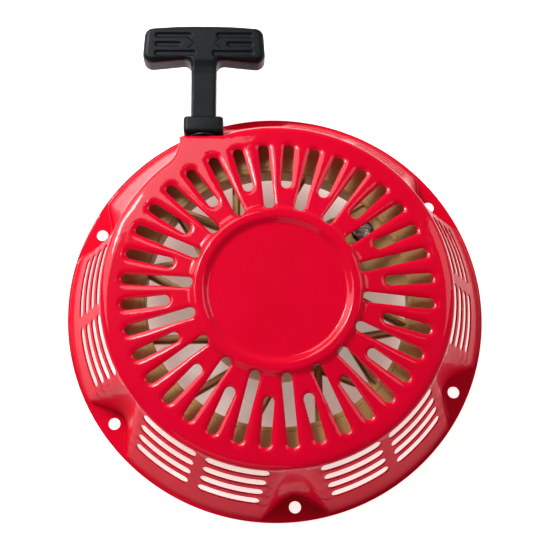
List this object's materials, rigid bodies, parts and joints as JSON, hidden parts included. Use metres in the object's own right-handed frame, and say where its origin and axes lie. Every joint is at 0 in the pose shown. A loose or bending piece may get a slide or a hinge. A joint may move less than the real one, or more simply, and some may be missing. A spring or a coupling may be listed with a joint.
{
  "type": "recoil starter",
  "caption": "Pull starter for a small petrol engine: slotted pressed dome with bolt flange, spring-return rope reel, ratchet pawls and T handle.",
  "frame": {"origin": "centre of the bolt circle on the flange's mating face", "axes": "+Z along the crankshaft axis, out through the dome and away from the engine; +Y is the direction in which the rope is pulled; the flange lies on Z = 0"},
  "size_m": [0.25, 0.2915, 0.0582],
  "materials": {
    "red_paint": "deep gloss bright red enamel over pressed steel",
    "zinc_steel": "turned and zinc plated steel, satin",
    "spring_steel": "oiled dark spring steel",
    "sintered_steel": "dark satin hardened steel",
    "yellow_zinc": "yellow passivated pressed steel",
    "tan_nylon": "natural tan nylon, semi-gloss moulding",
    "black_plastic": "blue-black moulded plastic, fine satin",
    "black_rubber": "blue-black rubber, satin",
    "starter_rope": "braided off-white nylon rope with dark tracer strands"
  },
  "bodies": {
    "housing": {"housing_shell": "red_paint", "spindle": "zinc_steel", "rope_eyelet": "black_plastic", "power_spring": "spring_steel", "thrust_washer": "zinc_steel", "center_screw": "zinc_steel", "rope_lead": "starter_rope", "rope_span": "starter_rope"},
    "reel": {"reel": "tan_nylon", "reel_bush": "sintered_steel", "pawl_pins": "zinc_steel", "rope_winding": "starter_rope", "reel_knot": "starter_rope", "pawl_spring_1": "spring_steel", "pawl_spring_2": "spring_steel"},
    "pawl_1": {"pawl_1": "sintered_steel"},
    "pawl_2": {"pawl_2": "sintered_steel"},
    "ratchet_guide": {"ratchet_guide": "yellow_zinc", "friction_spring": "spring_steel"},
    "rope_end": {"knot_washer": "zinc_steel", "handle_knot": "starter_rope"},
    "handle": {"handle_grip": "black_plastic", "handle_buffer": "black_rubber"}
  },
  "joints": [
    {"name": "handle_pull", "type": "slide", "parent": "housing", "child": "rope_end", "axis": [0, 1, 0], "range_m": [0, 1.2], "stiffness_N_per_m": 18, "springref_m": -0.6, "deforming": ["rope_span"]},
    {"name": "handle_swivel", "type": "hinge", "parent": "rope_end", "child": "handle", "pos_m": [-0.043, 0.15, 0.042], "axis": [0, 1, 0], "range_deg": [-90, 90]},
    {"name": "reel_spin", "type": "hinge", "parent": "housing", "child": "reel", "pos_m": [0, 0, 0.03], "axis": [0, 0, -1], "range_deg": [0, 830], "deforming": ["power_spring"]},
    {"name": "guide_turn", "type": "hinge", "parent": "reel", "child": "ratchet_guide", "pos_m": [0, 0, 0.012], "axis": [0, 0, 1], "range_deg": [0, 28], "stiffness_Nm_per_rad": 0.05, "springref_deg": -20.05},
    {"name": "pawl_1_swing", "type": "hinge", "parent": "reel", "child": "pawl_1", "pos_m": [-0.02719, -0.01268, 0.0165], "axis": [0, 0, 1], "range_deg": [0, 22], "deforming": ["pawl_spring_1"]},
    {"name": "pawl_2_swing", "type": "hinge", "parent": "reel", "child": "pawl_2", "pos_m": [0.02719, 0.01268, 0.0165], "axis": [0, 0, 1], "range_deg": [0, 22], "deforming": ["pawl_spring_2"]}
  ],
  "couplings": [
    {"joint": "reel_spin", "follows": "handle_pull", "rad_per_m": 12.048},
    {"joint": "pawl_1_swing", "follows": "guide_turn", "ratio": 0.7857},
    {"joint": "pawl_2_swing", "follows": "guide_turn", "ratio": 0.7857}
  ]
}
